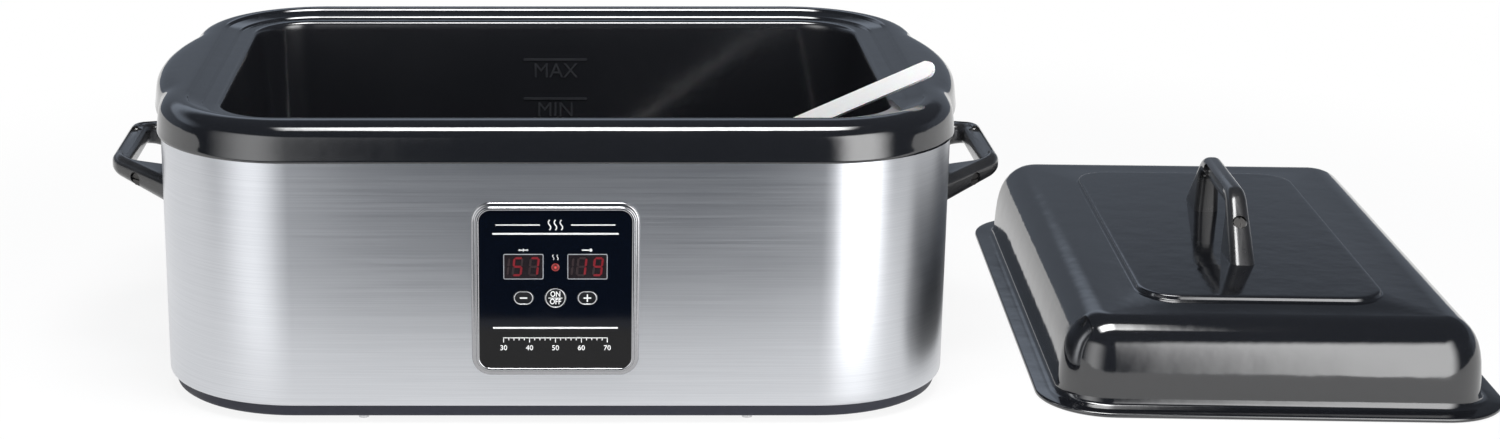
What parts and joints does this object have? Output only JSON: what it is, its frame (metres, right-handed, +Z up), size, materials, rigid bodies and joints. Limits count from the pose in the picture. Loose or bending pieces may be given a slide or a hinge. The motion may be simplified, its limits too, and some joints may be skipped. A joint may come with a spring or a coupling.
{
  "type": "hot stone heater",
  "caption": "Table-top electric heater for massage stones: brushed steel body with a lift-out enamelled pan, side handles, digital control panel, domed lid beside it and a slotted spoon.",
  "frame": {"origin": "on the table under the centre of the heater's body", "axes": "+X to the right along the body's length, +Y to the back, +Z up; the control panel faces -Y"},
  "size_m": [0.9124, 0.4492, 0.2139],
  "materials": {
    "base_plastic": "moulded, fine grain",
    "rubber": "matte",
    "screw_steel": "zinc plated",
    "brushed_steel": "brushed along the wall",
    "well_sheet": "plain sheet",
    "shield": "bright sheet",
    "heater_band": "heat tinted",
    "fibre": "glass fibre",
    "ceramic": "glazed ceramic",
    "dark_plastic": "moulded",
    "chrome": "bright plated",
    "lens": "high gloss",
    "board": "varnished board",
    "display": "tinted",
    "lamp": "tinted, clear",
    "relay": "moulded",
    "transformer": "wound core",
    "button": "gloss",
    "bakelite": "satin moulding",
    "enamel": "gloss black enamel",
    "spoon_plastic": "smooth white"
  },
  "bodies": {
    "heater": {"base_tray": "base_plastic", "rubber_feet": "rubber", "base_screws": "screw_steel", "outer_shell": "brushed_steel", "back_sheet": "brushed_steel", "heating_well": "well_sheet", "support_posts": "well_sheet", "heat_shield": "shield", "band_heater": "heater_band", "insulation_wrap": "fibre", "element_terminals": "ceramic", "element_lead": "fibre", "thermal_cutout": "dark_plastic", "temperature_probe": "screw_steel", "probe_clip": "well_sheet", "bezel": "chrome", "panel_lens": "lens", "control_housing": "dark_plastic", "housing_screws": "screw_steel", "control_board": "board", "set_display": "display", "current_display": "display", "heat_lamp": "lamp", "tact_switches": "dark_plastic", "power_relay": "relay", "transformer": "transformer", "cord_gland": "dark_plastic", "left_handle": "bakelite", "left_handle_bracket": "well_sheet", "left_handle_screws": "screw_steel", "right_handle": "bakelite", "right_handle_bracket": "well_sheet", "right_handle_screws": "screw_steel"},
    "pan": {"inner_pan": "enamel"},
    "spoon": {"spoon": "spoon_plastic"},
    "lid": {"lid_shell": "enamel", "lid_handle": "bakelite", "lid_handle_bracket": "well_sheet", "lid_handle_screws": "screw_steel"},
    "minus_key": {"minus_button": "button"},
    "power_key": {"power_button": "button"},
    "plus_key": {"plus_button": "button"}
  },
  "joints": [
    {"name": "pan_lift", "type": "slide", "parent": "heater", "child": "pan", "axis": [0, 0, 1], "range_m": [0, 0.2]},
    {"name": "spoon_lift", "type": "slide", "parent": "pan", "child": "spoon", "axis": [0, 0, 1], "range_m": [0, 0.25]},
    {"name": "lid_lift", "type": "slide", "parent": "heater", "child": "lid", "axis": [0, 0, 1], "range_m": [0, 0.3]},
    {"name": "minus_press", "type": "slide", "parent": "heater", "child": "minus_key", "axis": [0, 1, 0], "range_m": [0, 0.0008], "stiffness_N_per_m": 800},
    {"name": "power_press", "type": "slide", "parent": "heater", "child": "power_key", "axis": [0, 1, 0], "range_m": [0, 0.0008], "stiffness_N_per_m": 800},
    {"name": "plus_press", "type": "slide", "parent": "heater", "child": "plus_key", "axis": [0, 1, 0], "range_m": [0, 0.0008], "stiffness_N_per_m": 800}
  ]
}
